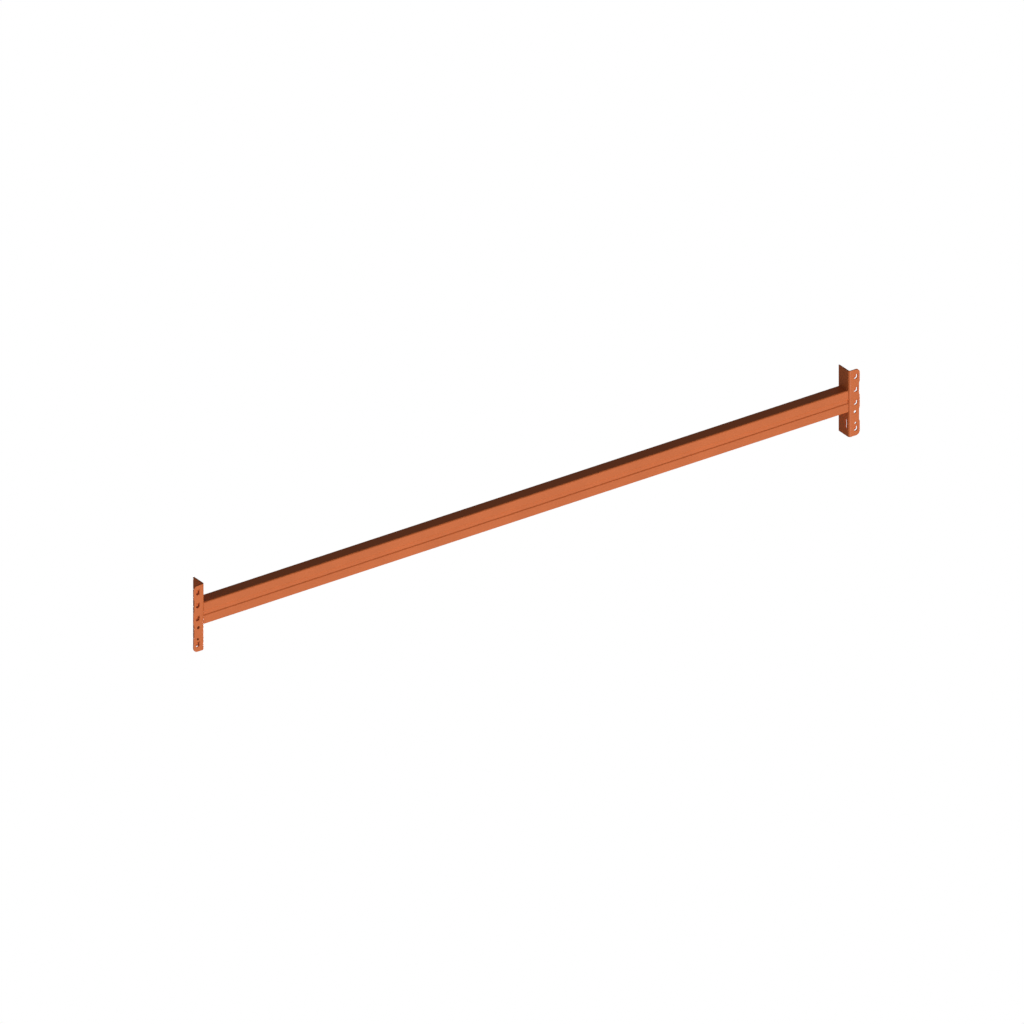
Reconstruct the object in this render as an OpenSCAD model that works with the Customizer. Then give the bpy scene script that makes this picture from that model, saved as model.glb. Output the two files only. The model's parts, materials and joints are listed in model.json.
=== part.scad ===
// Pallet rack beam. Two cold-rolled channels nest into a box beam, which is welded between
// two folded end connectors. The connectors' pressed hooks drop into the slots of the uprights.
// Millimetres: +X along the beam, +Y to the back, +Z up. The origin lies under the middle of
// the beam, on the plane of the connectors' lower edges.

/* [Bay] */
// Distance between the two uprights that the beam spans
bay_width = 2700; // [1500:10:3600]

/* [Box beam] */
// Height of the box beam
beam_h = 85.5; // [70:0.5:105]
// Depth of the box beam, front to back
beam_w = 48; // [40:0.5:52]
// Thickness of the sheet that both channels are rolled from
sheet_t = 1.5; // [1.2:0.1:2.5]
// Inside radius of the channels' corners
corner_r = 4; // [1:0.5:5]
// Depth of the stiffening groove along each web
groove_d = 3; // [2:0.5:5]
// Width of the groove at half its depth
groove_w = 16; // [12:0.2:24]
// Inside radius of the groove's bends
groove_r = 1.5; // [1:0.5:2.5]
// Distance from the back of the beam to the free edges of the front channel's flanges
flange_setback = 1; // [0.5:0.5:6]
// Distance from the front web to the free edges of the rear channel's flanges
flange_gap = 5; // [4.5:0.5:15]

/* [Connectors] */
// Thickness of the connectors' plate
plate_t = 4.2; // [3:0.2:5]
// Depth of the side leg, which lies against the upright's side
side_leg = 62; // [60:1:80]
// Width of the front leg, which lies against the upright's front
front_leg = 45; // [43:1:60]
// Inside radius of the fold between the legs
fold_r = 4; // [2:0.5:5]
// Distance from the connectors' front to the beam's front
beam_setback = 5; // [1:0.5:5.5]
// Distance from the connectors' top to the beam's top
beam_drop = 75; // [40:1:100]
// Radius of the front leg's outer corners
leg_corner_r = 16; // [3:1:18]
// Depth of the shallow hollows along the front leg's outer edge
hollow_d = 2.8; // [1:0.2:5]
// Length of each hollow, with both its ramps
hollow_len = 57; // [40:1:70]
// Length of each ramp between a hollow and the full width
hollow_ramp = 8.5; // [6:0.5:14]

/* [Hooks] */
// Pitch of the hook rows, which is the pitch of the upright's slots
hook_pitch = 50; // [50:1:75]
// Number of hooks above the row that has none
rows_above = 3; // [3:1:5]
// Number of hooks under the row that has none
rows_below = 1; // [1:1:3]
// Distance from the connectors' top to the middle of the first hook window
top_margin = 25.5; // [20:0.5:40]
// Distance from the middle of the last hook window to the connectors' lower edge
bottom_margin = 29; // [20:1:50]
// Distance from the side leg's beam face to the line of the hooks
hook_line = 28; // [26:0.5:30]
// Width of a hook window
hook_w = 15; // [12:0.5:18]
// Height of a hook window
hook_h = 22.5; // [19:0.5:26]
// Space between the front leg's back and a hook's lip, for the upright's wall
hook_throat = 4.2; // [3:0.2:5.4]
// Inside radius of a hook's two bends
hook_bend_r = 2; // [1:0.5:3]
// Radius of the lower corners of a hook window, as far as its width leaves room
hook_tip_r = 7; // [3:0.5:7]
// Radius of the upper corners of a hook window
hook_root_r = 2; // [1:0.5:3]
// Sheared gap between a hook and the edge of its window
shear_gap = 0.5; // [0.3:0.1:1]

/* [Holes] */
// Diameter of the safety pin's hole
pin_d = 11; // [6:0.5:12]
// Distance from the side leg's beam face to the middle of the safety pin's hole
pin_line = 25.5; // [24:0.5:30]
// Height of the safety pin's hole over the middle of the row without a hook
pin_rise = 13; // [0:0.5:20]
// Diameter of the small locating hole
locating_d = 8.5; // [4:0.5:9]
// Distance from the side leg's beam face to the middle of the small locating hole
locating_line = 27.5; // [24:0.5:30]
// Height of the small locating hole over the middle of the hook window under it
locating_rise = 19; // [18:0.5:26]
// Width of the slot in the side leg
slot_w = 7.5; // [5:0.5:10]
// Length of the slot in the side leg
slot_len = 38; // [20:1:40]
// Height of the slot's middle over the middle of the first hook window under the beam
slot_rise = 17; // [10:1:20]
// Distance from the connectors' front to the middle of the slot
slot_line = 18; // [14:0.5:40]

/* [Welds] */
// Radius of the weld beads between beam and connectors
weld_r = 3; // [2:0.5:4]
// Distance from the beam's corners to the ends of the beads
weld_stop = 7.5; // [6:0.5:12]

/* [Hidden] */
$fn = 64;

// Angle of the groove's flanks and of the hooks' necks to the flat sheet
bend_angle = 45;
// Largest turn of one facet round a bend
arc_step = 7.5;
// Length by which a cutting shape runs past the face that it cuts
over = 1;
// Length by which a hook runs up into the plate over its window
hook_root = 2;

// The beam spans from one side leg to the other
beam_len = bay_width - 2 * plate_t;
beam_end_x = beam_len / 2;
fold_outer_r = fold_r + plate_t;
front_y = -side_leg / 2;
beam_front_y = front_y + beam_setback;

// The rows are counted from the top, and the row at rows_above has no hook
row_count = rows_above + 1 + rows_below;
connector_h = top_margin + (row_count - 1) * hook_pitch + bottom_margin;
function row_z(row) = connector_h - top_margin - row * hook_pitch;
hook_rows = [for (row = [0 : row_count - 1]) if (row != rows_above) row];
first_low_row = rows_above + 1;

// Radius of the window's lower corners, which leaves a straight run between them
window_tip_r = min(hook_tip_r, hook_w / 2 - shear_gap);

beam_top_z = connector_h - beam_drop;
beam_bottom_z = beam_top_z - beam_h;
beam_mid_z = (beam_top_z + beam_bottom_z) / 2;

// Radius of the bead on a groove's floor, which just reaches the bead on the web
groove_fill_r = 0.96 * norm([groove_d, weld_r]);

paint = [0.80, 0.42, 0.25];
paint_dark = [0.72, 0.36, 0.21];
weld_paint = [0.66, 0.32, 0.18];

// ---- Sheet bending: a bent strip is drawn in a plane as runs and bends, one after the other.
// Each step is [run, turn, inside radius], with the turn to the left when positive.

// Length of sheet edge that an opposed pair of bends takes up, besides its straight flank
function joggle_bends(wall, radius) = 2 * radius + wall;
// Length of the straight flank of such a pair, which shifts the sheet sideways by depth
function joggle_flank(depth, wall, radius) =
    (depth - joggle_bends(wall, radius) * (1 - cos(bend_angle))) / sin(bend_angle);
// Distance along the sheet from the start of the first bend to the end of the second
function joggle_len(depth, wall, radius) =
    joggle_bends(wall, radius) * sin(bend_angle) + joggle_flank(depth, wall, radius) * cos(bend_angle);

// Points of a circular arc about a centre
function arc(centre, radius, start, turn) =
    let (count = ceil(abs(turn) / arc_step))
    [for (k = [0 : count]) centre + radius * [cos(start + turn * k / count), sin(start + turn * k / count)]];

// Points along one side of a strip: its right side at an offset of 0, its left at wall
function strip_side(steps, wall, offset, at = [0, 0], heading = 0, step = 0) =
    let (
        turn = steps[step][1],
        radius = steps[step][2],
        left = [-sin(heading), cos(heading)],
        stop = at + steps[step][0] * [cos(heading), sin(heading)],
        hand = sign(turn),
        centre = stop + (turn > 0 ? wall + radius : -radius) * left,
        side_r = turn > 0 ? wall + radius - offset : radius + offset,
        right_r = turn > 0 ? wall + radius : radius,
        start = heading - 90 * hand,
        next_at = centre + right_r * [cos(start + turn), sin(start + turn)]
    )
    turn == 0
        ? [stop + offset * left]
        : concat(
            arc(centre, side_r, start, turn),
            strip_side(steps, wall, offset, next_at, heading + turn, step + 1)
        );

// A bent strip of sheet, which starts at the origin along +X with its wall towards +Y
module strip(steps, wall) {
    left_side = strip_side(steps, wall, wall);
    polygon(concat(
        [[0, 0]],
        strip_side(steps, wall, 0),
        [for (k = [len(left_side) - 1 : -1 : 0]) left_side[k]],
        [[0, wall]]
    ));
}

// Turns a shape drawn in X and Y into a plate in X and Z, which runs back from Y = 0
module face_plate(depth) {
    translate([0, depth, 0])
        rotate([90, 0, 0])
            linear_extrude(depth)
                children();
}

// ---- Box beam

// Section of one channel, open to +X: web at X = 0, flanges along +X, middle at Y = 0
module channel_section(height, flange) {
    bend_r = corner_r + sheet_t;
    flank_run = joggle_len(groove_d, sheet_t, groove_r);
    web_run = (height - groove_w - flank_run) / 2 - bend_r;
    flank = joggle_flank(groove_d, sheet_t, groove_r);
    translate([flange, height / 2])
        rotate(180)
            strip([
                [flange - bend_r, 90, corner_r],
                [web_run, bend_angle, groove_r],
                [flank, -bend_angle, groove_r],
                [groove_w - flank_run, -bend_angle, groove_r],
                [flank, bend_angle, groove_r],
                [web_run, 90, corner_r],
                [flange - bend_r, 0, 0]
            ], sheet_t);
}

// Runs a section along the beam. Its X becomes +Y from y, and its Y becomes Z about the middle.
module along_beam(y, length) {
    translate([-length / 2, y, beam_mid_z])
        rotate([90, 0, 90])
            linear_extrude(length)
                children();
}

module front_channel() {
    color(paint)
        along_beam(beam_front_y, beam_len)
            channel_section(beam_h, beam_w - flange_setback);
}

// The rear channel's flanges lie inside those of the front channel
module rear_channel() {
    color(paint_dark)
        along_beam(beam_front_y + beam_w, beam_len)
            mirror([1, 0])
                channel_section(beam_h - 2 * sheet_t, beam_w - sheet_t - flange_gap);
}

// Full outline of the box beam with its grooves, run past both ends
module beam_envelope() {
    along_beam(beam_front_y, beam_len + 4 * plate_t) {
        difference() {
            translate([0, -beam_h / 2])
                rounded_rect([beam_w, beam_h], corner_r + sheet_t, corner_r + sheet_t);
            groove_outline();
            translate([beam_w, 0])
                mirror([1, 0])
                    groove_outline();
        }
    }
}

// Space in front of a web that its groove leaves, with the flanks as straight lines
module groove_outline() {
    wide = groove_w / 2 + groove_d / 2;
    narrow = groove_w / 2 - groove_d / 2;
    polygon([
        [-over, -wide], [0, -wide], [groove_d, -narrow],
        [groove_d, narrow], [0, wide], [-over, wide]
    ]);
}

// ---- End connectors, drawn as the right-hand one: X = 0 is the side leg's beam face

// Rectangle with its corner at the origin, rounded by one radius below and one above
module rounded_rect(size, low_r, high_r) {
    width = size[0];
    height = size[1];
    for (x = [low_r, width - low_r])
        translate([x, low_r])
            circle(r = low_r);
    for (x = [high_r, width - high_r])
        translate([x, height - high_r])
            circle(r = high_r);
    translate([0, low_r])
        square([width, height - low_r - high_r]);
    translate([low_r, 0])
        square([width - 2 * low_r, height / 2]);
    translate([high_r, height / 2])
        square([width - 2 * high_r, height / 2]);
}

// Slot with round ends, about the origin, its length along Y
module round_slot(width, length) {
    straight = length - width;
    for (end = [-1, 1])
        translate([0, end * straight / 2])
            circle(d = width);
    translate([-width / 2, -straight / 2])
        square([width, straight]);
}

// Plan of the folded plate: the side leg runs forward, then folds outward to the front leg
module fold_section() {
    translate([0, side_leg])
        rotate(-90)
            strip([
                [side_leg - fold_outer_r, 90, fold_r],
                [front_leg - fold_outer_r, 0, 0]
            ], plate_t);
}

// What is sheared off a front corner of the plate that lies at the origin, with the plate
// towards -X and +Z
module corner_waste() {
    difference() {
        translate([-leg_corner_r, -over])
            square([leg_corner_r + over, leg_corner_r + over]);
        translate([-leg_corner_r, leg_corner_r])
            circle(r = leg_corner_r);
    }
}

// What is sheared off the outer edge for one hollow: two S-shaped ramps and a straight between
module hollow_waste() {
    ramp_r = (hollow_ramp ^ 2 + hollow_d ^ 2) / (4 * hollow_d);
    ramp_turn = asin(hollow_ramp / (2 * ramp_r));
    end_y = -hollow_len / 2;
    into_floor = arc([ramp_r - hollow_d, end_y + hollow_ramp], ramp_r, 180 + ramp_turn, -ramp_turn);
    half = concat(
        [[over, end_y]],
        arc([-ramp_r, end_y], ramp_r, 0, ramp_turn),
        [for (k = [1 : len(into_floor) - 1]) into_floor[k]]
    );
    polygon(concat(half, [for (k = [len(half) - 1 : -1 : 0]) [half[k][0], -half[k][1]]]));
}

module edge_waste() {
    translate([front_leg, 0])
        corner_waste();
    translate([front_leg, connector_h])
        mirror([0, 1])
            corner_waste();
    for (row = [1 : 2 : row_count - 1])
        translate([front_leg, row_z(row)])
            hollow_waste();
}

// Window that is left where a hook is pressed out of the front leg
module hook_window() {
    translate([-hook_w / 2, -hook_h / 2])
        rounded_rect([hook_w, hook_h], window_tip_r, hook_root_r);
}

// Front outline of a hook: the window's, less the sheared gap, run up into the plate
module hook_outline() {
    width = hook_w - 2 * shear_gap;
    translate([-width / 2, shear_gap - hook_h / 2])
        rounded_rect([width, hook_h + hook_root], window_tip_r - shear_gap, over);
}

// Side view of a hook, from the plate over the window down to its lip: X is down, Y is back
module hook_profile() {
    neck = joggle_len(hook_throat + plate_t, plate_t, hook_bend_r);
    flank = joggle_flank(hook_throat + plate_t, plate_t, hook_bend_r);
    translate([-hook_root, 0])
        strip([
            [hook_root, bend_angle, hook_bend_r],
            [flank, -bend_angle, hook_bend_r],
            [hook_h - neck, 0, 0]
        ], plate_t);
}

// One hook about the middle of its window. It stays joined to the plate along its top.
module hook() {
    intersection() {
        translate([-hook_w / 2, 0, hook_h / 2])
            rotate([0, 90, 0])
                linear_extrude(hook_w)
                    hook_profile();
        face_plate(3 * plate_t + hook_throat)
            hook_outline();
    }
}

module connector_plate() {
    difference() {
        linear_extrude(connector_h)
            fold_section();
        translate([0, -over, 0])
            face_plate(plate_t + 2 * over)
                edge_waste();
    }
}

module hook_windows() {
    translate([0, -over, 0])
        face_plate(plate_t + 2 * over)
            for (row = hook_rows)
                translate([hook_line, row_z(row)])
                    hook_window();
}

// Holes and slot of the connector, which nothing fills
module connector_holes() {
    translate([pin_line, -over, row_z(rows_above) + pin_rise])
        rotate([-90, 0, 0])
            cylinder(h = plate_t + 2 * over, d = pin_d);
    translate([locating_line, -over, row_z(first_low_row) + locating_rise])
        rotate([-90, 0, 0])
            cylinder(h = plate_t + 2 * over, d = locating_d);
    translate([-over, slot_line, row_z(first_low_row) + slot_rise])
        rotate([90, 0, 90])
            linear_extrude(plate_t + 2 * over)
                round_slot(slot_w, slot_len);
}

module connector() {
    color(paint)
        difference() {
            union() {
                difference() {
                    connector_plate();
                    hook_windows();
                }
                for (row = hook_rows)
                    translate([hook_line, 0, row_z(row)])
                        hook();
            }
            connector_holes();
        }
}

// Puts a shape drawn for the right-hand end at either end
module at_end(side) {
    mirror([side == "left" ? 1 : 0, 0, 0])
        translate([beam_end_x, front_y, 0])
            children();
}

// ---- Weld beads: quarter rounds in the corner between the beam's outside and the side leg's
// beam face, drawn at the right-hand end

// Round bar with ball ends, about the middle of its length along Z
module round_bar(length) {
    straight = length - 2 * weld_r;
    cylinder(h = straight, r = weld_r, center = true);
    for (end = [-1, 1])
        translate([0, 0, end * straight / 2])
            sphere(r = weld_r);
}

// Everything behind the outer faces of the connector, for what lies against them. The thin
// gap between the fold and the beam's end counts too, since a bead doesn't run into it.
module connector_envelope() {
    linear_extrude(connector_h) {
        translate([fold_outer_r, fold_outer_r])
            circle(r = fold_outer_r);
        translate([fold_outer_r, 0])
            square([front_leg, side_leg]);
        translate([0, beam_setback])
            square([front_leg, side_leg]);
    }
}

// Keeps what stands proud of both the beam and the connector
module proud_of_both() {
    difference() {
        children();
        translate([-beam_end_x, -front_y, 0])
            beam_envelope();
        connector_envelope();
    }
}

// Bead up the front or the back of the beam, which also fills the end of the web's groove
module upright_weld(face) {
    outward = face == "front" ? -1 : 1;
    web_y = face == "front" ? beam_setback : beam_setback + beam_w;
    color(weld_paint)
        proud_of_both() {
            translate([0, web_y, beam_mid_z])
                intersection() {
                    round_bar(beam_h - 2 * weld_stop);
                    translate([0, outward * beam_w / 2, 0])
                        cube([beam_w, beam_w, beam_h], center = true);
                }
            translate([0, web_y - outward * groove_d, beam_mid_z])
                cylinder(h = groove_w + groove_d, r = groove_fill_r, center = true);
        }
}

// Bead across the top or the bottom of the beam
module level_weld(z) {
    color(weld_paint)
        proud_of_both()
            translate([0, beam_setback + beam_w / 2, z])
                rotate([90, 0, 0])
                    round_bar(beam_w - 2 * weld_stop);
}

front_channel();
rear_channel();
at_end("left") connector();  // left_connector
at_end("right") connector();  // right_connector
at_end("left") upright_weld("front");  // left_front_weld
at_end("left") upright_weld("rear");  // left_rear_weld
at_end("left") level_weld(beam_top_z);  // left_top_weld
at_end("left") level_weld(beam_bottom_z);  // left_bottom_weld
at_end("right") upright_weld("front");  // right_front_weld
at_end("right") upright_weld("rear");  // right_rear_weld
at_end("right") level_weld(beam_top_z);  // right_top_weld
at_end("right") level_weld(beam_bottom_z);  // right_bottom_weld
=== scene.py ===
"""Pallet rack beam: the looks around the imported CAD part.

A box beam of two grooved channels is welded between two folded end connectors. Each channel is a
section that is swept along the beam, each connector is the CAD plate with its outline and round
holes eased, and each weld is a rippled bead that follows the corner between beam and connector.
"""

import json
import logging
import math
from collections.abc import Iterator
from contextlib import contextmanager
from dataclasses import dataclass, field
from enum import Enum

import bmesh
import bpy
from mathutils import Matrix, Vector


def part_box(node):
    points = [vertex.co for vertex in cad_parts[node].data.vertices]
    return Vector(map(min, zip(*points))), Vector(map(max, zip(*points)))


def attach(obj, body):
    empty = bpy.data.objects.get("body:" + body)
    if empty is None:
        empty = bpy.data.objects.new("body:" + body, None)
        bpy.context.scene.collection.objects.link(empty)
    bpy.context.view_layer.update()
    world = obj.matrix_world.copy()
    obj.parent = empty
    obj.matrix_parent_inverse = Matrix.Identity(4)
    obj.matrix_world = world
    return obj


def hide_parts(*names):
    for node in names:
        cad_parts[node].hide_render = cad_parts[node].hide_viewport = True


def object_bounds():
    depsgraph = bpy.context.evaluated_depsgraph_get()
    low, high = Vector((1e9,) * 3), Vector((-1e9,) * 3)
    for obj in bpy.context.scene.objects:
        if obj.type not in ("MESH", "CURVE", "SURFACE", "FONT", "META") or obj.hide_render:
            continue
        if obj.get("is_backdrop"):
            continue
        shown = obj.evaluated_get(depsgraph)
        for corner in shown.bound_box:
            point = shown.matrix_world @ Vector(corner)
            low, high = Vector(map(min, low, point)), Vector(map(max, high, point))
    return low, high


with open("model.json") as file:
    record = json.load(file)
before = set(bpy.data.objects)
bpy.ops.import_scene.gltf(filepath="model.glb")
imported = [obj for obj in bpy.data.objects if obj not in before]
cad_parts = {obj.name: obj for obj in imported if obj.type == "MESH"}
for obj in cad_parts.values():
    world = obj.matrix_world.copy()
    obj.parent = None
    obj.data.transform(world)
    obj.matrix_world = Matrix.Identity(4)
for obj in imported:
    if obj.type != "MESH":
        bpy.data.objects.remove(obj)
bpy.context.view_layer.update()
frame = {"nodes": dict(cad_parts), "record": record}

LOG = logging.getLogger("rack_beam")
MM = 0.001
BODY = "root"

Point2 = tuple[float, float]
Colour = tuple[float, float, float]

ORANGE: Colour = (0.655, 0.163, 0.049)
WELD_PAINTED_SHADE = 0.96  # a bead's colour against the sheet's: painted shade that darkens the corner between beam and connector
WHITE = (1.0, 1.0, 1.0, 1.0)


class End(Enum):
    """The two ends of the beam, each with its direction out of the beam along X."""

    LEFT = -1
    RIGHT = 1

    @property
    def word(self) -> str:
        """The end's word in the names of pieces."""
        return self.name.lower()


class Face(Enum):
    """The four outer faces of the box beam, each with its outward direction in Y and Z."""

    FRONT = (-1, 0)
    REAR = (1, 0)
    TOP = (0, 1)
    BOTTOM = (0, -1)

    @property
    def word(self) -> str:
        """The face's word in the names of pieces."""
        return self.name.lower()


# ---- Finishes


@dataclass(frozen=True)
class PowderCoat:
    """Orange powder coat on steel: an even satin colour with a fine orange peel.

    Attributes:
        name: the material's name.
        colour: linear base colour.
        drift: share by which the tone drifts over a hand's width.
        drift_size: width of one swell of that drift, in metres.
        roughness: mean roughness.
        roughness_span: how far the roughness strays to either side of the mean.
        cloud_size: width of one swell of the roughness, in metres.
        noise_span: range of a noise's values that is stretched over a whole span.
        peel_size: width of one ripple of the orange peel, in metres.
        peel_height: height of the orange peel, in metres.
        grain_size: width of the fine powder grain, in metres.
        grain_share: the grain's height against the peel's.
        specular: specular level of the coat.
    """

    name: str
    colour: Colour
    drift: float = 0.035
    drift_size: float = 90 * MM
    roughness: float = 0.38
    roughness_span: float = 0.04
    cloud_size: float = 14 * MM
    noise_span: tuple[float, float] = (0.3, 0.7)
    peel_size: float = 2.6 * MM
    peel_height: float = 0.022 * MM
    grain_size: float = 0.55 * MM
    grain_share: float = 1 / 8
    specular: float = 0.15

    def build(self) -> bpy.types.Material:
        """Makes the material.

        Returns:
            The node-based material.
        """
        material = bpy.data.materials.new(self.name)
        material.use_nodes = True
        tree = material.node_tree
        shader = tree.nodes["Principled BSDF"]
        place = tree.nodes.new("ShaderNodeTexCoord").outputs["Object"]
        shader.inputs["Specular IOR Level"].default_value = self.specular

        drift = self._noise(tree, place, size=self.drift_size, detail=3.0)
        tone = tree.nodes.new("ShaderNodeValToRGB")
        shades = (1 - self.drift, 1 + self.drift)
        for stop, at, shade in zip(tone.color_ramp.elements, self.noise_span, shades):
            stop.position = at
            stop.color = (*(min(1.0, c * shade) for c in self.colour), 1)
        tree.links.new(drift, tone.inputs["Fac"])
        tree.links.new(tone.outputs["Color"], shader.inputs["Base Color"])

        cloud = self._noise(tree, place, size=self.cloud_size, detail=4.0)
        satin = tree.nodes.new("ShaderNodeMapRange")
        satin.inputs["From Min"].default_value = self.noise_span[0]
        satin.inputs["From Max"].default_value = self.noise_span[1]
        satin.inputs["To Min"].default_value = self.roughness - self.roughness_span
        satin.inputs["To Max"].default_value = self.roughness + self.roughness_span
        tree.links.new(cloud, satin.inputs["Value"])
        tree.links.new(satin.outputs["Result"], shader.inputs["Roughness"])

        peel = self._noise(tree, place, size=self.peel_size, detail=1.0)
        grain = self._noise(tree, place, size=self.grain_size, detail=2.0)
        coarse = self._bump(tree, peel, self.peel_height, None)
        fine = self._bump(tree, grain, self.peel_height * self.grain_share, coarse)
        tree.links.new(fine, shader.inputs["Normal"])
        return material

    @staticmethod
    def _noise(
        tree: bpy.types.NodeTree, place: bpy.types.NodeSocket, size: float, detail: float
    ) -> bpy.types.NodeSocket:
        """Adds a noise texture.

        Args:
            tree: the material's node tree.
            place: the coordinates that the noise reads.
            size: width of one swell of the noise, in metres.
            detail: number of finer octaves.

        Returns:
            The noise's value socket.
        """
        noise = tree.nodes.new("ShaderNodeTexNoise")
        noise.inputs["Scale"].default_value = 1 / size
        noise.inputs["Detail"].default_value = detail
        tree.links.new(place, noise.inputs["Vector"])
        return noise.outputs["Fac"]

    @staticmethod
    def _bump(
        tree: bpy.types.NodeTree,
        height: bpy.types.NodeSocket,
        distance: float,
        under: bpy.types.NodeSocket | None,
    ) -> bpy.types.NodeSocket:
        """Adds a bump node.

        Args:
            tree: the material's node tree.
            height: the height field.
            distance: height of the bumps, in metres.
            under: the normal that the bumps are laid on, if any.

        Returns:
            The bump's normal socket.
        """
        bump = tree.nodes.new("ShaderNodeBump")
        bump.inputs["Distance"].default_value = distance
        tree.links.new(height, bump.inputs["Height"])
        if under is not None:
            tree.links.new(under, bump.inputs["Normal"])
        return bump.outputs["Normal"]


# ---- Mesh helpers


def placed(name: str, data: bpy.types.ID) -> bpy.types.Object:
    """Makes an object at the origin of the scene.

    Args:
        name: name of the object.
        data: its mesh, light or camera.

    Returns:
        The object.
    """
    thing = bpy.data.objects.new(name, data)
    bpy.context.scene.collection.objects.link(thing)
    return thing


@contextmanager
def edited(mesh: bpy.types.Mesh) -> Iterator[bmesh.types.BMesh]:
    """Opens a mesh for editing and writes it back at the end.

    Args:
        mesh: the mesh, changed in place.

    Yields:
        The editable mesh.
    """
    work = bmesh.new()
    work.from_mesh(mesh)
    yield work
    work.to_mesh(mesh)
    work.free()


def evaluated_mesh(source: bpy.types.Object) -> bpy.types.Mesh:
    """Makes a plain mesh of what an object's modifiers give.

    Args:
        source: the object, which is left as it is.

    Returns:
        The new mesh.
    """
    graph = bpy.context.evaluated_depsgraph_get()
    return bpy.data.meshes.new_from_object(source.evaluated_get(graph))


def plain_mesh(source: bpy.types.Object, name: str) -> bpy.types.Object:
    """Replaces an object that has live modifiers by one with a plain mesh.

    Args:
        source: the object, which is removed.
        name: name of the new object.

    Returns:
        The new object, at the origin.
    """
    mesh = evaluated_mesh(source)
    bpy.data.objects.remove(source)
    mesh.name = name
    return placed(name, mesh)


def even_normals(piece: bpy.types.Object, crease: float = 40.0) -> None:
    """Shades a piece smooth, with large flat faces kept flat.

    Args:
        piece: the piece, whose mesh is replaced.
        crease: angle in degrees from which an edge stays sharp.
    """
    piece.data.set_sharp_from_angle(angle=math.radians(crease))
    weigh = piece.modifiers.new("Even normals", "WEIGHTED_NORMAL")
    weigh.keep_sharp = True
    weigh.weight = 100  # the larger the face, the more it counts
    mesh = evaluated_mesh(piece)
    piece.modifiers.remove(weigh)
    old, piece.data = piece.data, mesh
    name = old.name
    bpy.data.meshes.remove(old)
    piece.data.name = name


def seat(piece: bpy.types.Object, node: str) -> None:
    """Makes a piece stand for a CAD node.

    Args:
        piece: the finished piece.
        node: the CAD node that it replaces.
    """
    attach(piece, BODY)
    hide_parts(node)
    LOG.info("%s: %d faces, stands for %s", piece.name, len(piece.data.polygons), node)


def line_object(name: str, points: list[Vector], closed: bool) -> bpy.types.Object:
    """Makes an object of edges only, along a line of points.

    Args:
        name: name of the object.
        points: the points, in metres.
        closed: whether the last point joins the first.

    Returns:
        The object, at the origin.
    """
    count = len(points)
    edges = [(k, (k + 1) % count) for k in range(count if closed else count - 1)]
    mesh = bpy.data.meshes.new(name)
    mesh.from_pydata([tuple(p) for p in points], edges, [])
    return placed(name, mesh)


# ---- Geometry Nodes helpers


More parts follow.
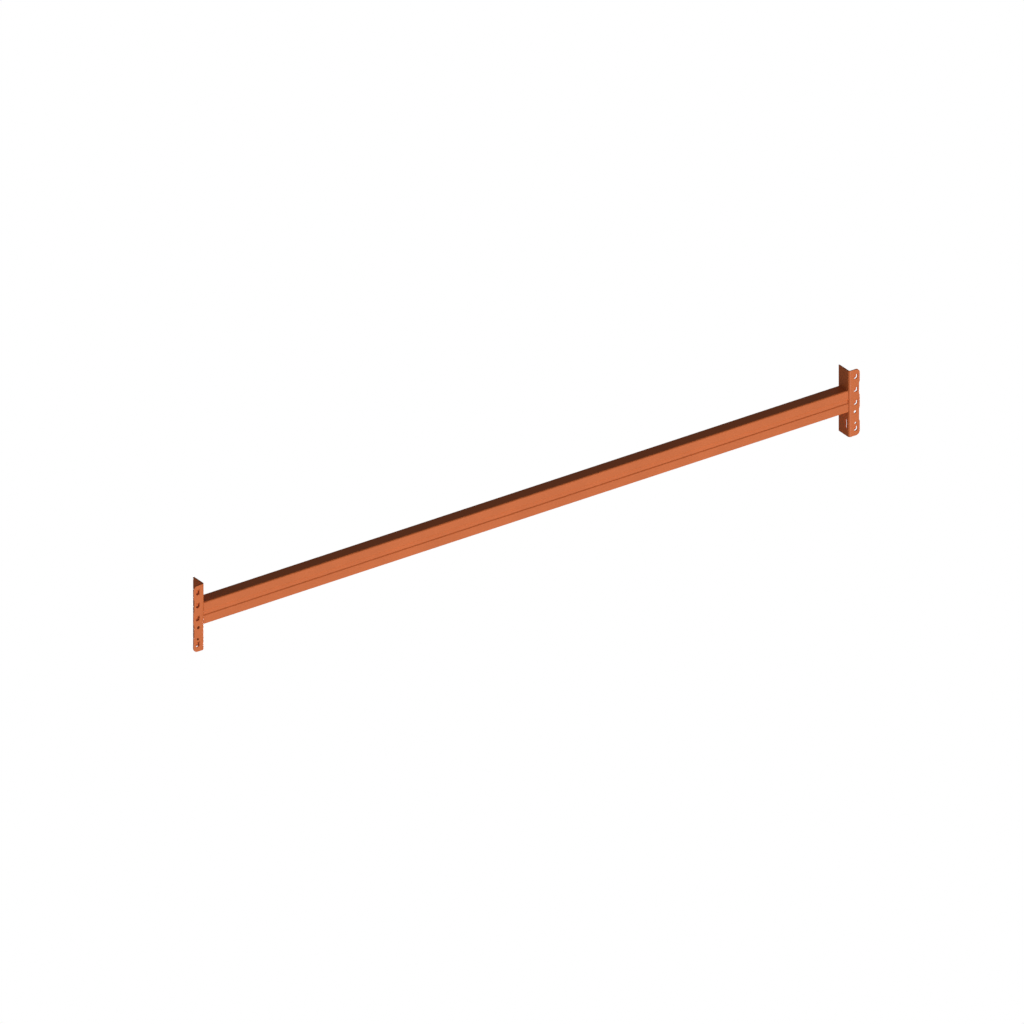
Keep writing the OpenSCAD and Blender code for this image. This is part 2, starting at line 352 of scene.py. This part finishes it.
class GraphBuilder:
    """Writes a Geometry Nodes tree with named inputs."""

    def __init__(self, name: str) -> None:
        """Starts a tree that takes and gives geometry.

        Args:
            name: name of the tree.
        """
        self.tree = bpy.data.node_groups.new(name, "GeometryNodeTree")
        self.tree.interface.new_socket(
            "Geometry", in_out="INPUT", socket_type="NodeSocketGeometry"
        )
        self.tree.interface.new_socket(
            "Geometry", in_out="OUTPUT", socket_type="NodeSocketGeometry"
        )
        self.entry = self.tree.nodes.new("NodeGroupInput")
        self.exit = self.tree.nodes.new("NodeGroupOutput")

    def input(self, name: str, kind: str) -> bpy.types.NodeSocket:
        """Adds a named input.

        Args:
            name: the input's name.
            kind: its socket type, such as "Float".

        Returns:
            The input's socket inside the tree.
        """
        self.tree.interface.new_socket(name, in_out="INPUT", socket_type=f"NodeSocket{kind}")
        return self.entry.outputs[name]

    def node(self, kind: str, settings: dict | None = None, **values: object) -> bpy.types.Node:
        """Adds a node.

        Args:
            kind: the node's type.
            settings: its properties by name.
            values: what its inputs get, a socket or a value, with _ for a space in the name.

        Returns:
            The node.
        """
        node = self.tree.nodes.new(kind)
        for name, value in (settings or {}).items():
            setattr(node, name, value)
        for name, value in values.items():
            self.feed(node.inputs[name.replace("_", " ")], value)
        return node

    def feed(self, socket: bpy.types.NodeSocket, value: object) -> None:
        """Links a socket into an input, or sets its value.

        Args:
            socket: the input.
            value: a socket or a plain value.
        """
        if isinstance(value, bpy.types.NodeSocket):
            self.tree.links.new(value, socket)
        else:
            socket.default_value = value

    def math(self, operation: str, *values: object) -> bpy.types.NodeSocket:
        """Adds a Math node.

        Args:
            operation: the operation, such as "MULTIPLY".
            values: its operands, sockets or numbers.

        Returns:
            The result's socket.
        """
        node = self.tree.nodes.new("ShaderNodeMath")
        node.operation = operation
        for socket, value in zip(node.inputs, values):
            self.feed(socket, value)
        return node.outputs[0]

    def vector(self, operation: str, *values: object) -> bpy.types.Node:
        """Adds a Vector Math node.

        Args:
            operation: the operation, such as "SUBTRACT".
            values: its operands, sockets or vectors.

        Returns:
            The node, since a length or dot product has an output of its own.
        """
        node = self.tree.nodes.new("ShaderNodeVectorMath")
        node.operation = operation
        for socket, value in zip(node.inputs, values):
            self.feed(socket, value)
        return node

    def captured(
        self, geometry: bpy.types.NodeSocket, value: bpy.types.NodeSocket, kind: str
    ) -> tuple[bpy.types.NodeSocket, bpy.types.NodeSocket]:
        """Stores a field on the points of a geometry.

        Args:
            geometry: the geometry.
            value: the field.
            kind: "FLOAT" or "VECTOR".

        Returns:
            The geometry that carries the field, and the stored field.
        """
        node = self.tree.nodes.new("GeometryNodeCaptureAttribute")
        node.capture_items.new(kind, "Stored")
        self.tree.links.new(geometry, node.inputs[0])
        self.tree.links.new(value, node.inputs[1])
        return node.outputs[0], node.outputs[1]

    def finish(self, geometry: bpy.types.NodeSocket, finish: bpy.types.NodeSocket) -> None:
        """Ends the tree in Realize Instances and Set Material.

        Args:
            geometry: what the tree has made.
            finish: the material input.
        """
        real = self.node("GeometryNodeRealizeInstances", Geometry=geometry)
        dressed = self.node(
            "GeometryNodeSetMaterial", Geometry=real.outputs[0], Material=finish
        )
        self.tree.links.new(dressed.outputs[0], self.exit.inputs[0])

    def apply(self, holder: bpy.types.Object, **values: object) -> None:
        """Puts the tree on an object and sets its inputs by their identifiers.

        Args:
            holder: the object.
            values: the inputs' values, with _ for a space.
        """
        modifier = holder.modifiers.new(self.tree.name, "NODES")
        modifier.node_group = self.tree
        sockets = {
            item.name: item.identifier
            for item in self.tree.interface.items_tree
            if item.in_out == "INPUT"
        }
        for name, value in values.items():
            modifier[sockets[name.replace("_", " ")]] = value


# ---- Box beam


@dataclass(frozen=True)
class Bend:
    """A step of a bent strip: a straight run and the bend after it.

    Attributes:
        run: length of the straight run, in metres.
        turn: angle of the bend in degrees, to the left when positive.
        radius: inside radius of the bend, in metres.
    """

    run: float
    turn: float = 0.0
    radius: float = 0.0


@dataclass
class BoxBeam:
    """The box beam: two cold-rolled channels with a groove along each web, one inside the other.

    Attributes:
        finish: the coat.
        sheet: thickness of the sheet.
        corner_r: inside radius of the channels' corners.
        groove_depth: depth of the groove.
        groove_width: width of the groove at half its depth.
        groove_r: inside radius of the groove's bends.
        groove_angle: angle of the groove's flanks to the web, in degrees.
        edge_r: rounding of the sheet's free edges.
        edge_steps: facets of that rounding.
        arc_step: turn of one facet round a bend, in degrees.
    """

    finish: bpy.types.Material
    sheet: float = 1.5 * MM
    corner_r: float = 4 * MM
    groove_depth: float = 3 * MM
    groove_width: float = 16 * MM
    groove_r: float = 1.5 * MM
    groove_angle: float = 45.0
    edge_r: float = 0.3 * MM
    edge_steps: int = 3
    arc_step: float = 9.0

    def build(self) -> list[bpy.types.Object]:
        """Makes both channels.

        Returns:
            The front and the rear channel.
        """
        graph = self._sweep_graph()
        return [
            self._channel(graph, "front_channel", "channel_front", opens_to=1),
            self._channel(graph, "rear_channel", "channel_rear", opens_to=-1),
        ]

    def _sweep_graph(self) -> GraphBuilder:
        """Makes the tree that runs a section along the beam.

        Returns:
            The tree. Its object holds the section, with Y in its X and Z in its Y.
        """
        graph = GraphBuilder("Rolled section")
        start = graph.input("Start", "Vector")
        end = graph.input("End", "Vector")
        finish = graph.input("Finish", "Material")
        section = graph.node("GeometryNodeMeshToCurve", Mesh=graph.entry.outputs["Geometry"])
        line = graph.node("GeometryNodeCurvePrimitiveLine", Start=start, End=end)
        turned = graph.node(
            "GeometryNodeSetCurveNormal",
            {"mode": "FREE"},
            Curve=line.outputs[0],
            Normal=(0.0, 1.0, 0.0),
        )
        swept = graph.node(
            "GeometryNodeCurveToMesh",
            Curve=turned.outputs[0],
            Profile_Curve=section.outputs[0],
            Fill_Caps=True,
        )
        graph.finish(swept.outputs[0], finish)
        return graph

    def _channel(
        self, graph: GraphBuilder, node: str, name: str, opens_to: int
    ) -> bpy.types.Object:
        """Makes one channel in the place of its CAD node.

        Args:
            graph: the tree that sweeps the section.
            node: the CAD node.
            name: name of the piece.
            opens_to: 1 where the channel opens to +Y, -1 where it opens to -Y.

        Returns:
            The channel.
        """
        low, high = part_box(node)
        web_y = low.y if opens_to > 0 else high.y
        middle_z = (low.z + high.z) / 2
        outline = self._section(high.z - low.z, high.y - low.y)
        points = [Vector((web_y + opens_to * u, middle_z + v, 0)) for u, v in outline]
        if opens_to < 0:
            points.reverse()
        holder = line_object(name + "_section", points, closed=True)
        graph.apply(
            holder, Start=(low.x, 0.0, 0.0), End=(high.x, 0.0, 0.0), Finish=self.finish
        )
        piece = plain_mesh(holder, name)
        even_normals(piece)
        seat(piece, node)
        return piece

    def _section(self, height: float, flange: float) -> list[Point2]:
        """Gives the outline of a channel that opens to the right.

        Args:
            height: height of the web over the flanges.
            flange: depth of the flanges from the web's face.

        Returns:
            The closed outline, anticlockwise, with the web's face at 0 and its middle at 0.
        """
        bend_r = self.corner_r + self.sheet
        turn = math.radians(self.groove_angle)
        bends = 2 * self.groove_r + self.sheet
        flank = (self.groove_depth - bends * (1 - math.cos(turn))) / math.sin(turn)
        flank_run = bends * math.sin(turn) + flank * math.cos(turn)
        web_run = (height - self.groove_width - flank_run) / 2 - bend_r
        angle = self.groove_angle
        steps = [
            Bend(flange - bend_r, 90, self.corner_r),
            Bend(web_run, angle, self.groove_r),
            Bend(flank, -angle, self.groove_r),
            Bend(self.groove_width - flank_run, -angle, self.groove_r),
            Bend(flank, angle, self.groove_r),
            Bend(web_run, 90, self.corner_r),
            Bend(flange - bend_r),
        ]
        return [(flange - x, height / 2 - y) for x, y in self._strip(steps)]

    def _strip(self, steps: list[Bend]) -> list[Point2]:
        """Gives the closed outline of a bent strip.

        Args:
            steps: the strip's runs and bends, from the origin along +X.

        Returns:
            The outline, anticlockwise, with the wall to the left of the steps.
        """
        right = self._side(steps, 0.0)
        left = self._side(steps, self.sheet)
        start = self._free_edge(Vector((0, self.sheet)), Vector((0, -1)), Vector((1, 0)))
        stop_at = Vector(right[-1])
        across = (Vector(left[-1]) - stop_at).normalized()
        inward = Vector((-across.y, across.x))
        stop = self._free_edge(stop_at, across, inward)
        return start + right[:-1] + stop + left[-2::-1]

    def _free_edge(self, at: Vector, across: Vector, inward: Vector) -> list[Point2]:
        """Gives the sheared edge of the sheet with its two corners rounded.

        Args:
            at: the first corner.
            across: direction from it to the second corner.
            inward: direction from the edge into the sheet.

        Returns:
            The points over the edge.
        """
        points = []
        for corner, side in ((0.0, 1), (self.sheet, -1)):
            centre = at + across * (corner + side * self.edge_r) + inward * self.edge_r
            for k in range(self.edge_steps + 1):
                step = k if side > 0 else self.edge_steps - k
                swing = math.radians(90 / self.edge_steps * step)
                out = -across * side * math.cos(swing) - inward * math.sin(swing)
                points.append(tuple(centre + out * self.edge_r))
        return points

    def _side(self, steps: list[Bend], offset: float) -> list[Point2]:
        """Gives the points along one side of a bent strip.

        Args:
            steps: the strip's runs and bends.
            offset: 0 for its right side, the sheet's thickness for its left.

        Returns:
            The points, without the strip's start.
        """
        at, heading, points = Vector((0.0, 0.0)), 0.0, []
        for step in steps:
            ahead = self._ray(heading)
            left = Vector((-ahead.y, ahead.x))
            at = at + ahead * step.run
            if not step.turn:
                points.append(tuple(at + left * offset))
                continue
            hand = 1 if step.turn > 0 else -1
            reach = self.sheet + step.radius if hand > 0 else step.radius
            centre = at + left * hand * reach
            side_r = reach - hand * offset
            count = max(2, round(abs(step.turn) / self.arc_step))
            first, turn = heading - hand * math.pi / 2, math.radians(step.turn)
            for k in range(count + 1):
                points.append(tuple(centre + self._ray(first + turn * k / count) * side_r))
            at = centre + self._ray(first + turn) * reach
            heading += turn
        return points

    @staticmethod
    def _ray(angle: float) -> Vector:
        """Gives the direction at an angle.

        Args:
            angle: the angle from +X, in radians.

        Returns:
            The direction, of length 1.
        """
        return Vector((math.cos(angle), math.sin(angle)))


# ---- End connectors


@dataclass
class EndConnector:
    """A folded plate with hooks pressed out of its front leg.

    Attributes:
        end: which end of the beam it closes.
        finish: the coat.
        edge_r: rounding that tumbling and coating leave on the sheared edges.
        edge_steps: facets of that rounding.
        sharp: angle in degrees from which an edge is rounded.
        short: length below which a sharp edge is left alone.
        join: distance within which the plate's loose corners are joined.
        speck: length below which an edge that the rounding leaves is removed.
        flat: angle in degrees below which two faces become one.
        hook_room: reach around a hook's throat in which pressing keeps edges sharp.
        slot_room: the same around the clip's slot.
    """

    end: End
    finish: bpy.types.Material
    edge_r: float = 0.35 * MM
    edge_steps: int = 2
    sharp: float = 32.0
    short: float = 0.2 * MM
    join: float = 0.05 * MM
    speck: float = 0.01 * MM
    flat: float = 0.4
    hook_room: Vector = field(default_factory=lambda: Vector((3, 12, 18)) * MM)
    slot_room: Vector = field(default_factory=lambda: Vector((3, 3, 3)) * MM)

    def build(self) -> bpy.types.Object:
        """Makes the connector from its CAD node.

        Returns:
            The connector.
        """
        node = f"{self.end.word}_connector"
        mesh = frame["nodes"][node].data.copy()
        self._clean(mesh)
        holder = placed(node + "_plate", mesh)
        ease = holder.modifiers.new("Eased edges", "BEVEL")
        ease.width = self.edge_r
        ease.segments = self.edge_steps
        ease.limit_method = "WEIGHT"
        ease.use_clamp_overlap = False
        piece = plain_mesh(holder, f"connector_{self.end.word}")
        self._settle(piece.data, node)
        piece.data.shade_smooth()
        even_normals(piece)
        piece.data.materials.clear()
        piece.data.materials.append(self.finish)
        seat(piece, node)
        return piece

    def _pressed(self) -> list[tuple[Vector, Vector]]:
        """Finds the boxes around the hooks and the clip's slot, whose edges stay sharp.

        Returns:
            The low and high corner of each box.
        """
        boxes = []
        for opening in frame["record"]["physics"]["openings"]:
            name = opening["name"]
            if not name.startswith(self.end.word):
                continue
            low, high = (Vector(corner) for corner in opening["box_m"])
            if name.endswith("throat"):
                boxes.append((low - self.hook_room, high + self.hook_room))
            elif name.endswith("clip_slot"):
                boxes.append((low - self.slot_room, high + self.slot_room))
        return boxes

    def _clean(self, mesh: bpy.types.Mesh) -> None:
        """Joins the mesh's loose triangles into whole faces and marks the edges to round.

        Args:
            mesh: the mesh, changed in place.
        """
        with edited(mesh) as work:
            bmesh.ops.remove_doubles(work, verts=work.verts, dist=self.join)
            bmesh.ops.dissolve_degenerate(work, edges=work.edges, dist=self.join)
            bmesh.ops.dissolve_limit(
                work,
                angle_limit=math.radians(self.flat),
                verts=work.verts,
                edges=work.edges,
                delimit=set(),
            )
            self._mark(work)

    def _mark(self, work: bmesh.types.BMesh) -> None:
        """Gives bevel weight to the sharp edges that stand clear of hooks, slots and specks.

        Args:
            work: the mesh, changed in place.
        """
        weight = work.edges.layers.float.new("bevel_weight_edge")
        limit = math.radians(self.sharp)
        corners = {edge for edge in work.edges if edge.calc_face_angle(0.0) > limit}
        cramped = {
            vert for edge in corners if edge.calc_length() < self.short for vert in edge.verts
        }
        boxes = self._pressed()
        pressed = {
            vert
            for vert in work.verts
            if any(all(low[i] <= vert.co[i] <= high[i] for i in range(3)) for low, high in boxes)
        }
        for edge in corners:
            if not any(vert in cramped or vert in pressed for vert in edge.verts):
                edge[weight] = 1.0

    def _settle(self, mesh: bpy.types.Mesh, node: str) -> None:
        """Removes specks that the rounding leaves and keeps every corner in the CAD box.

        Args:
            mesh: the mesh, changed in place.
            node: the CAD node whose box holds it.
        """
        low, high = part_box(node)
        with edited(mesh) as work:
            bmesh.ops.dissolve_degenerate(work, edges=work.edges, dist=self.speck)
            for vert in work.verts:
                vert.co = [min(max(vert.co[i], low[i]), high[i]) for i in range(3)]


# ---- Weld beads


@dataclass
class WeldBeads:
    """The four beads at one end of the beam, each a rippled fillet in the corner.

    Attributes:
        end: which end of the beam they close.
        beam: the box beam that they follow.
        finish: the coat over the beads.
        radius: leg length of the fillet.
        pitch: distance between two ripples.
        ripple: height of a ripple.
        bow: how far the middle of a ripple runs ahead of its ends.
        unevenness: share by which the bead's size wanders.
        wander_size: width of one swell of that wandering.
        stray: share of the wandering by which the ripples leave their even pitch.
        keenness: power that narrows the valley between two ripples.
        rim: share of a ripple's height that is left at the bead's two edges.
        turn_share: radius of the path's bends against the bead's radius.
        turn_steps: facets of such a bend.
        arc_points: points over the bead's quarter round.
        tip: a bead's square radius at its very end, which keeps it from closing to nothing.
        step: distance between two rings of the mesh.
        crease: angle in degrees from which an edge stays sharp.
        face_seed: how far the noise moves on from one bead to the next.
        end_seed: how far it moves on from the left end to the right one.
    """

    end: End
    beam: BoxBeam
    finish: bpy.types.Material
    radius: float = 3 * MM
    pitch: float = 1.9 * MM
    ripple: float = 0.28 * MM
    bow: float = 1.1 * MM
    unevenness: float = 0.1
    wander_size: float = 1 / 260
    stray: float = 0.8
    keenness: float = 2.2
    rim: float = 0.15
    turn_share: float = 1.08
    turn_steps: int = 8
    arc_points: int = 14
    tip: float = 0.0001
    step: float = 0.2 * MM
    crease: float = 60.0
    face_seed: float = 3.7
    end_seed: float = 20.3

    def build(self) -> list[bpy.types.Object]:
        """Makes the four beads.

        Returns:
            The beads.
        """
        graph = self._graph()
        return [self._bead(graph, face, number) for number, face in enumerate(Face)]

    def _bead(self, graph: GraphBuilder, face: Face, number: int) -> bpy.types.Object:
        """Makes one bead in the place of its CAD node.

        Args:
            graph: the tree that makes a bead.
            face: the beam's face that the bead lies on.
            number: the bead's number, which sets its ripples apart from the next one's.

        Returns:
            The bead.
        """
        node = f"{self.end.word}_{face.word}_weld"
        path = self._path(node, face)
        inward = Vector((-self.end.value, 0, 0))
        out_y, out_z = face.value
        along = inward.cross(Vector((0, out_y, out_z)))
        if (path[-1] - path[0]).dot(along) < 0:
            path.reverse()
        holder = line_object(node + "_path", path, closed=False)
        graph.apply(
            holder,
            Bead_radius=self.radius,
            Ripple_pitch=self.pitch,
            Ripple_height=self.ripple,
            Ripple_bow=self.bow,
            Unevenness=self.unevenness,
            Ring_step=self.step,
            Inward=tuple(inward),
            Seed=self.face_seed * number + self.end_seed * (self.end is End.RIGHT),
            Finish=self.finish,
        )
        piece = plain_mesh(holder, f"weld_{self.end.word}_{face.word}")
        piece.data.shade_smooth()
        piece.data.set_sharp_from_angle(angle=math.radians(self.crease))
        seat(piece, node)
        return piece

    def _path(self, node: str, face: Face) -> list[Vector]:
        """Gives the corner line that a bead follows.

        Args:
            node: the bead's CAD node.
            face: the beam's face that the bead lies on.

        Returns:
            The line's points, in the plane of the connector's beam face.
        """
        low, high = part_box(node)
        x = low.x if self.end is End.LEFT else high.x
        beam_low, beam_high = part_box("front_channel")
        _, rear_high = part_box("rear_channel")
        if face in (Face.TOP, Face.BOTTOM):
            z = beam_high.z if face is Face.TOP else beam_low.z
            return [Vector((x, low.y, z)), Vector((x, high.y, z))]
        if face is Face.FRONT:
            web, inward = beam_low.y, 1
        else:
            web, inward = rear_high.y, -1
        middle = (beam_low.z + beam_high.z) / 2
        depth, slope = self.beam.groove_depth, math.radians(self.beam.groove_angle)
        half_flank = depth / math.tan(slope) / 2
        wide = self.beam.groove_width / 2 + half_flank
        narrow = self.beam.groove_width / 2 - half_flank
        return [
            Vector((x, y, z))
            for y, z in (
                (web, low.z),
                (web, middle - wide),
                (web + inward * depth, middle - narrow),
                (web + inward * depth, middle + narrow),
                (web, middle + wide),
                (web, high.z),
            )
        ]

    def _graph(self) -> GraphBuilder:
        """Makes the tree that lays a rippled quarter-round bead along a path.

        Returns:
            The tree.
        """
        graph = GraphBuilder("Weld bead")
        radius = graph.input("Bead radius", "Float")
        pitch = graph.input("Ripple pitch", "Float")
        height = graph.input("Ripple height", "Float")
        bow = graph.input("Ripple bow", "Float")
        unevenness = graph.input("Unevenness", "Float")
        step = graph.input("Ring step", "Float")
        inward = graph.input("Inward", "Vector")
        seed = graph.input("Seed", "Float")
        finish = graph.input("Finish", "Material")

        run = graph.node("GeometryNodeSplineParameter").outputs["Length"]
        place = graph.node("GeometryNodeInputPosition").outputs[0]
        path = self._line(graph, radius, step, inward)
        path, run_here = graph.captured(path, run, "FLOAT")
        path, centre = graph.captured(path, place, "VECTOR")
        bead = self._sweep(graph, path, run, radius)

        ray = graph.vector("SUBTRACT", place, centre).outputs[0]
        crown = self._crown(graph, ray, inward)
        wander = graph.node(
            "ShaderNodeTexNoise",
            {"noise_dimensions": "4D"},
            W=seed,
            Scale=1 / self.wander_size,
            Detail=2.0,
        ).outputs[0]
        strayed = graph.math("MULTIPLY", graph.math("SUBTRACT", wander, 0.5), pitch)
        bowed = graph.math("ADD", run_here, graph.math("MULTIPLY", crown, bow))
        along = graph.math("ADD", bowed, graph.math("MULTIPLY", strayed, self.stray))
        dip = self._dip(graph, graph.math("DIVIDE", along, pitch))

        cut = graph.math("MULTIPLY", graph.math("DIVIDE", height, radius), dip)
        ripple = graph.math("MULTIPLY", cut, graph.math("ADD", crown, self.rim))
        loss = graph.math("ADD", ripple, graph.math("MULTIPLY", unevenness, wander))
        offset = graph.vector("SCALE", ray)
        graph.feed(offset.inputs["Scale"], graph.math("MULTIPLY", loss, -1.0))
        moved = graph.node("GeometryNodeSetPosition", Geometry=bead, Offset=offset.outputs[0])
        graph.finish(moved.outputs[0], finish)
        return graph

    def _line(
        self,
        graph: GraphBuilder,
        radius: bpy.types.NodeSocket,
        step: bpy.types.NodeSocket,
        inward: bpy.types.NodeSocket,
    ) -> bpy.types.NodeSocket:
        """Turns the tree's path into an even curve with rounded bends.

        Args:
            graph: the tree.
            radius: the bead's radius.
            step: distance between two points of the curve.
            inward: direction in which the curve's normals point.

        Returns:
            The curve.
        """
        line = graph.node("GeometryNodeMeshToCurve", Mesh=graph.entry.outputs["Geometry"])
        rounded = graph.node(
            "GeometryNodeFilletCurve",
            {"mode": "POLY"},
            Curve=line.outputs[0],
            Count=self.turn_steps,
            Radius=graph.math("MULTIPLY", radius, self.turn_share),
        )
        even = graph.node(
            "GeometryNodeResampleCurve", {"mode": "LENGTH"}, Curve=rounded.outputs[0], Length=step
        )
        return graph.node(
            "GeometryNodeSetCurveNormal", {"mode": "FREE"}, Curve=even.outputs[0], Normal=inward
        ).outputs[0]

    def _sweep(
        self,
        graph: GraphBuilder,
        path: bpy.types.NodeSocket,
        run: bpy.types.NodeSocket,
        radius: bpy.types.NodeSocket,
    ) -> bpy.types.NodeSocket:
        """Sweeps a quarter round along a path, with rounded ends.

        Args:
            graph: the tree.
            path: the path.
            run: distance from the path's start.
            radius: the bead's radius.

        Returns:
            The swept bead.
        """
        whole = graph.node("GeometryNodeSplineLength").outputs["Length"]
        to_end = graph.math("MINIMUM", run, graph.math("SUBTRACT", whole, run))
        share = graph.math("MINIMUM", graph.math("DIVIDE", to_end, radius), 1.0)
        rest = graph.math("SUBTRACT", 1.0, share)
        square = graph.math("SUBTRACT", 1 + self.tip, graph.math("MULTIPLY", rest, rest))
        pie = graph.node(
            "GeometryNodeCurveArc",
            {"mode": "RADIUS"},
            Resolution=self.arc_points,
            Radius=radius,
            Start_Angle=0.0,
            Sweep_Angle=math.pi / 2,
            Connect_Center=True,
        )
        return graph.node(
            "GeometryNodeCurveToMesh",
            Curve=path,
            Profile_Curve=pie.outputs[0],
            Scale=graph.math("SQRT", square),
            Fill_Caps=True,
        ).outputs[0]

    @staticmethod
    def _crown(
        graph: GraphBuilder, ray: bpy.types.NodeSocket, inward: bpy.types.NodeSocket
    ) -> bpy.types.NodeSocket:
        """Gives how near a point is to the middle of the bead's round.

        Args:
            graph: the tree.
            ray: from the path to the point.
            inward: direction of one of the bead's two legs.

        Returns:
            1 on the middle line, 0 at both legs.
        """
        unit = graph.vector("NORMALIZE", ray).outputs[0]
        lean = graph.vector("DOT_PRODUCT", unit, inward).outputs["Value"]
        square = graph.math("SUBTRACT", 1.0, graph.math("MULTIPLY", lean, lean))
        rise = graph.math("SQRT", graph.math("MAXIMUM", square, 0.0))
        return graph.math("MULTIPLY", graph.math("MULTIPLY", lean, rise), 2.0)

    def _dip(self, graph: GraphBuilder, phase: bpy.types.NodeSocket) -> bpy.types.NodeSocket:
        """Gives the shape of the valleys between ripples.

        Args:
            graph: the tree.
            phase: distance along the bead, in ripples.

        Returns:
            1 in a valley, 0 on a ripple.
        """
        saw = graph.math("MULTIPLY", graph.math("FRACT", phase), 2.0)
        return graph.math(
            "POWER", graph.math("ABSOLUTE", graph.math("SUBTRACT", saw, 1.0)), self.keenness
        )


# ---- Studio


@dataclass(frozen=True)
class Sun:
    """One soft, far light.

    Attributes:
        name: the light's name.
        towards: direction from the object to the light.
        strength: the light's strength.
        spread: angle of the light's disc, in degrees.
    """

    name: str
    towards: tuple[float, float, float]
    strength: float
    spread: float

    def build(self) -> None:
        """Makes the light."""
        data = bpy.data.lights.new(self.name, "SUN")
        data.energy = self.strength
        data.angle = math.radians(self.spread)
        light = placed(self.name, data)
        light.rotation_mode = "QUATERNION"
        light.rotation_quaternion = Vector(self.towards).to_track_quat("Z", "Y")


SUNS = (
    Sun("key light", (0.08, -1.0, -0.383), strength=2.53, spread=46),
    Sun("left fill", (-0.9, -0.3, -0.085), strength=0.313, spread=90),
    Sun("rear fill", (0.15, 0.95, -0.42), strength=2.3, spread=18),
    Sun("right fill", (0.95, 0.2, -0.42), strength=1.3, spread=20),
)


@dataclass
class Studio:
    """Pale floor, soft lights and the camera.

    Attributes:
        azimuth: the camera's turn about Z, in degrees, with 0 looking along +Y.
        elevation: the camera's height over the horizon, in degrees.
        width: width of the view, in metres.
        aside: shift of the aim to the right of the object's middle, in metres.
        above: shift of the aim up the view from the object's middle, in metres.
        distance: the camera's distance from its aim, in metres.
        far: distance to which the camera sees, in metres.
        floor_size: width of the floor, in metres.
        floor_drop: how far the floor lies under the object, in metres.
        ambient: strength of the even light from all round.
        suns: the soft lights, which the floor doesn't stop.
    """

    azimuth: float = -35.17
    elevation: float = 27.81
    width: float = 3.4953
    aside: float = -0.0326
    above: float = -0.01666
    distance: float = 6.0
    far: float = 100.0
    floor_size: float = 90.0
    floor_drop: float = 0.5 * MM
    ambient: float = 0.1175
    suns: tuple[Sun, ...] = SUNS

    def build(self) -> None:
        """Makes the camera, floor, lights and surroundings."""
        self._camera()
        self._floor()
        self._surroundings()
        for sun in self.suns:
            sun.build()

    def _camera(self) -> None:
        """Makes the camera."""
        low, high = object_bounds()
        turn, lift = math.radians(self.azimuth), math.radians(self.elevation)
        back = Vector(
            (math.sin(turn) * math.cos(lift), -math.cos(turn) * math.cos(lift), math.sin(lift))
        )
        right = Vector((math.cos(turn), math.sin(turn), 0))
        up = back.cross(right)
        aim = (low + high) / 2 + right * self.aside + up * self.above
        data = bpy.data.cameras.new("camera")
        data.type = "ORTHO"
        data.ortho_scale = self.width
        data.clip_end = self.far
        camera = placed("camera", data)
        camera.matrix_world = Matrix.Translation(aim + back * self.distance) @ Matrix(
            (right, up, back)
        ).transposed().to_4x4()
        bpy.context.scene.camera = camera

    def _floor(self) -> None:
        """Makes the pale floor, which glows evenly and lets the lights pass."""
        half = self.floor_size / 2
        mesh = bpy.data.meshes.new("floor")
        mesh.from_pydata(
            [(-half, -half, 0), (half, -half, 0), (half, half, 0), (-half, half, 0)],
            [],
            [(0, 1, 2, 3)],
        )
        floor = placed("floor", mesh)
        material = bpy.data.materials.new("pale floor")
        material.use_nodes = True
        nodes = material.node_tree.nodes
        nodes.clear()
        glow = nodes.new("ShaderNodeEmission")
        glow.inputs["Color"].default_value = WHITE
        glow.inputs["Strength"].default_value = 1.0
        out = nodes.new("ShaderNodeOutputMaterial")
        material.node_tree.links.new(glow.outputs[0], out.inputs["Surface"])
        mesh.materials.append(material)
        floor.location.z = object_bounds()[0].z - self.floor_drop
        floor.visible_shadow = False
        floor.visible_diffuse = False
        floor.visible_glossy = False
        floor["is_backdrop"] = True

    def _surroundings(self) -> None:
        """Makes the even light from all round, with white behind the object."""
        world = bpy.data.worlds.new("surroundings")
        bpy.context.scene.world = world
        world.use_nodes = True
        tree = world.node_tree
        glow = tree.nodes["Background"]
        backdrop = tree.nodes.new("ShaderNodeBackground")
        for background, strength in ((glow, self.ambient), (backdrop, 1.0)):
            background.inputs["Color"].default_value = WHITE
            background.inputs["Strength"].default_value = strength
        seen = tree.nodes.new("ShaderNodeLightPath")
        choice = tree.nodes.new("ShaderNodeMixShader")
        tree.links.new(seen.outputs["Is Camera Ray"], choice.inputs["Fac"])
        tree.links.new(glow.outputs[0], choice.inputs[1])
        tree.links.new(backdrop.outputs[0], choice.inputs[2])
        tree.links.new(choice.outputs[0], tree.nodes["World Output"].inputs["Surface"])
        scene = bpy.context.scene
        scene.view_settings.view_transform = "Standard"
        scene.view_settings.look = "None"


def main() -> None:
    """Dresses the beam, piece by piece, and lights it."""
    logging.basicConfig(level=logging.INFO, format="%(name)s: %(message)s")
    rolled = PowderCoat("orange coat on rolled sheet", ORANGE).build()
    pressed = PowderCoat("orange coat on pressed plate", ORANGE, peel_size=3.0 * MM).build()
    # the coat over the beads is painted 4% darker than the sheet's, painted shade in the corner
    # between beam and connector
    welded = PowderCoat(
        "orange coat over weld",
        tuple(WELD_PAINTED_SHADE * c for c in ORANGE),
        roughness=0.48,
        peel_height=0.03 * MM,
    ).build()
    beam = BoxBeam(rolled)
    beam.build()
    for end in End:
        EndConnector(end, pressed).build()
        WeldBeads(end, beam, welded).build()
    Studio().build()


if __name__ == "__main__":
    main()
